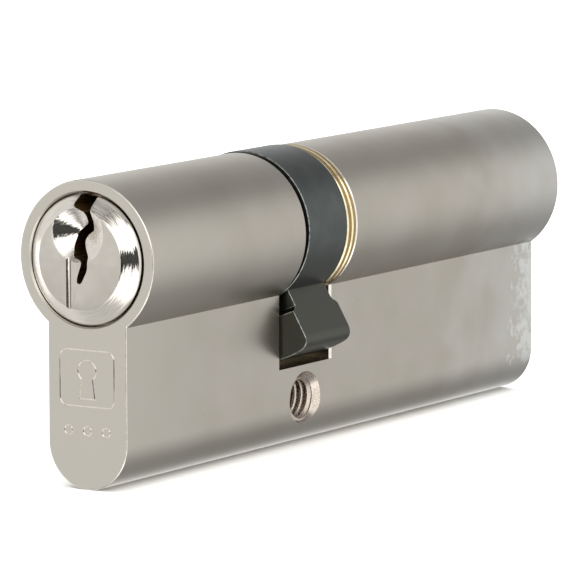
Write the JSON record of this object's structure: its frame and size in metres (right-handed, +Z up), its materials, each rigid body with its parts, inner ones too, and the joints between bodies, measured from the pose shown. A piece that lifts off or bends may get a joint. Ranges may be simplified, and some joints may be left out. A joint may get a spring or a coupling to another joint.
{
  "type": "euro-profile double door lock cylinder",
  "caption": "Double-sided euro-profile door lock cylinder with keyed plugs, pin stacks and a rotating cam that drives the bolt.",
  "frame": {"origin": "centre of the cross hole for the fixing screw, on the door cylinder's mid-plane", "axes": "+Z up towards the plug axis, -Y the 35 mm front end, +Y the 50 mm rear end, +X the right-hand side seen from the front"},
  "size_m": [0.0171, 0.0874, 0.0332],
  "materials": {
    "satin_nickel": "satin nickel plate over brass, fine even grain",
    "plug_nickel": "polished and turned nickel plate over brass",
    "cam_steel": "dark blue-grey satin sintered steel",
    "spring_steel": "bright drawn and stamped spring steel",
    "brass": "turned yellow brass, unplated"
  },
  "bodies": {
    "root": {"body": "satin_nickel", "brass_ring_inner": "brass", "brass_ring_outer": "brass", "spring_front_1": "spring_steel", "stopper_front_1": "satin_nickel", "spring_front_2": "spring_steel", "stopper_front_2": "satin_nickel", "spring_front_3": "spring_steel", "stopper_front_3": "satin_nickel", "spring_front_4": "spring_steel", "stopper_front_4": "satin_nickel", "spring_front_5": "spring_steel", "stopper_front_5": "satin_nickel", "spring_rear_1": "spring_steel", "stopper_rear_1": "satin_nickel", "spring_rear_2": "spring_steel", "stopper_rear_2": "satin_nickel", "spring_rear_3": "spring_steel", "stopper_rear_3": "satin_nickel", "spring_rear_4": "spring_steel", "stopper_rear_4": "satin_nickel", "spring_rear_5": "spring_steel", "stopper_rear_5": "satin_nickel"},
    "front_plug": {"plug_front": "plug_nickel", "circlip_front": "spring_steel"},
    "rear_plug": {"plug_rear": "plug_nickel", "circlip_rear": "spring_steel"},
    "cam": {"cam": "cam_steel"},
    "clutch": {"clutch": "spring_steel"},
    "key_pin_front_1": {"key_pin_front_1": "brass"},
    "driver_pin_front_1": {"driver_pin_front_1": "spring_steel"},
    "key_pin_front_2": {"key_pin_front_2": "brass"},
    "driver_pin_front_2": {"driver_pin_front_2": "spring_steel"},
    "key_pin_front_3": {"key_pin_front_3": "brass"},
    "driver_pin_front_3": {"driver_pin_front_3": "spring_steel"},
    "key_pin_front_4": {"key_pin_front_4": "brass"},
    "driver_pin_front_4": {"driver_pin_front_4": "spring_steel"},
    "key_pin_front_5": {"key_pin_front_5": "brass"},
    "driver_pin_front_5": {"driver_pin_front_5": "spring_steel"},
    "key_pin_rear_1": {"key_pin_rear_1": "brass"},
    "driver_pin_rear_1": {"driver_pin_rear_1": "spring_steel"},
    "key_pin_rear_2": {"key_pin_rear_2": "brass"},
    "driver_pin_rear_2": {"driver_pin_rear_2": "spring_steel"},
    "key_pin_rear_3": {"key_pin_rear_3": "brass"},
    "driver_pin_rear_3": {"driver_pin_rear_3": "spring_steel"},
    "key_pin_rear_4": {"key_pin_rear_4": "brass"},
    "driver_pin_rear_4": {"driver_pin_rear_4": "spring_steel"},
    "key_pin_rear_5": {"key_pin_rear_5": "brass"},
    "driver_pin_rear_5": {"driver_pin_rear_5": "spring_steel"}
  },
  "joints": [
    {"name": "plug_front_turn", "type": "hinge", "parent": "root", "child": "front_plug", "pos_m": [0, 0, 0.01905], "axis": [0, 1, 0], "continuous": true},
    {"name": "cam_turn", "type": "hinge", "parent": "root", "child": "cam", "pos_m": [0, 0, 0.01905], "axis": [0, 1, 0], "continuous": true},
    {"name": "plug_rear_turn", "type": "hinge", "parent": "root", "child": "rear_plug", "pos_m": [0, 0, 0.01905], "axis": [0, 1, 0], "continuous": true},
    {"name": "clutch_slide", "type": "slide", "parent": "cam", "child": "clutch", "axis": [0, 1, 0], "range_m": [0, 0.0016]},
    {"name": "key_pin_front_1_lift", "type": "slide", "parent": "front_plug", "child": "key_pin_front_1", "axis": [0, 0, 1], "range_m": [0, 0.0019]},
    {"name": "key_pin_front_2_lift", "type": "slide", "parent": "front_plug", "child": "key_pin_front_2", "axis": [0, 0, 1], "range_m": [0, 0.0013]},
    {"name": "key_pin_front_3_lift", "type": "slide", "parent": "front_plug", "child": "key_pin_front_3", "axis": [0, 0, 1], "range_m": [0, 0.0021]},
    {"name": "key_pin_front_4_lift", "type": "slide", "parent": "front_plug", "child": "key_pin_front_4", "axis": [0, 0, 1], "range_m": [0, 0.0009]},
    {"name": "key_pin_front_5_lift", "type": "slide", "parent": "front_plug", "child": "key_pin_front_5", "axis": [0, 0, 1], "range_m": [0, 0.0016]},
    {"name": "key_pin_rear_1_lift", "type": "slide", "parent": "rear_plug", "child": "key_pin_rear_1", "axis": [0, 0, 1], "range_m": [0, 0.0019]},
    {"name": "key_pin_rear_2_lift", "type": "slide", "parent": "rear_plug", "child": "key_pin_rear_2", "axis": [0, 0, 1], "range_m": [0, 0.0013]},
    {"name": "key_pin_rear_3_lift", "type": "slide", "parent": "rear_plug", "child": "key_pin_rear_3", "axis": [0, 0, 1], "range_m": [0, 0.0021]},
    {"name": "key_pin_rear_4_lift", "type": "slide", "parent": "rear_plug", "child": "key_pin_rear_4", "axis": [0, 0, 1], "range_m": [0, 0.0009]},
    {"name": "key_pin_rear_5_lift", "type": "slide", "parent": "rear_plug", "child": "key_pin_rear_5", "axis": [0, 0, 1], "range_m": [0, 0.0016]},
    {"name": "driver_pin_front_1_drop", "type": "slide", "parent": "root", "child": "driver_pin_front_1", "axis": [0, 0, 1], "range_m": [-0.0016, 0], "stiffness_N_per_m": 60, "springref_m": 0.004, "deforming": ["spring_front_1"]},
    {"name": "driver_pin_front_2_drop", "type": "slide", "parent": "root", "child": "driver_pin_front_2", "axis": [0, 0, 1], "range_m": [-0.0016, 0], "stiffness_N_per_m": 60, "springref_m": 0.004, "deforming": ["spring_front_2"]},
    {"name": "driver_pin_front_3_drop", "type": "slide", "parent": "root", "child": "driver_pin_front_3", "axis": [0, 0, 1], "range_m": [-0.0016, 0], "stiffness_N_per_m": 60, "springref_m": 0.004, "deforming": ["spring_front_3"]},
    {"name": "driver_pin_front_4_drop", "type": "slide", "parent": "root", "child": "driver_pin_front_4", "axis": [0, 0, 1], "range_m": [-0.0016, 0], "stiffness_N_per_m": 60, "springref_m": 0.004, "deforming": ["spring_front_4"]},
    {"name": "driver_pin_front_5_drop", "type": "slide", "parent": "root", "child": "driver_pin_front_5", "axis": [0, 0, 1], "range_m": [-0.0016, 0], "stiffness_N_per_m": 60, "springref_m": 0.004, "deforming": ["spring_front_5"]},
    {"name": "driver_pin_rear_1_drop", "type": "slide", "parent": "root", "child": "driver_pin_rear_1", "axis": [0, 0, 1], "range_m": [-0.0016, 0], "stiffness_N_per_m": 60, "springref_m": 0.004, "deforming": ["spring_rear_1"]},
    {"name": "driver_pin_rear_2_drop", "type": "slide", "parent": "root", "child": "driver_pin_rear_2", "axis": [0, 0, 1], "range_m": [-0.0016, 0], "stiffness_N_per_m": 60, "springref_m": 0.004, "deforming": ["spring_rear_2"]},
    {"name": "driver_pin_rear_3_drop", "type": "slide", "parent": "root", "child": "driver_pin_rear_3", "axis": [0, 0, 1], "range_m": [-0.0016, 0], "stiffness_N_per_m": 60, "springref_m": 0.004, "deforming": ["spring_rear_3"]},
    {"name": "driver_pin_rear_4_drop", "type": "slide", "parent": "root", "child": "driver_pin_rear_4", "axis": [0, 0, 1], "range_m": [-0.0016, 0], "stiffness_N_per_m": 60, "springref_m": 0.004, "deforming": ["spring_rear_4"]},
    {"name": "driver_pin_rear_5_drop", "type": "slide", "parent": "root", "child": "driver_pin_rear_5", "axis": [0, 0, 1], "range_m": [-0.0016, 0], "stiffness_N_per_m": 60, "springref_m": 0.004, "deforming": ["spring_rear_5"]}
  ],
  "couplings": [
    {"joint": "cam_turn", "follows": "plug_front_turn", "ratio": 1}
  ]
}
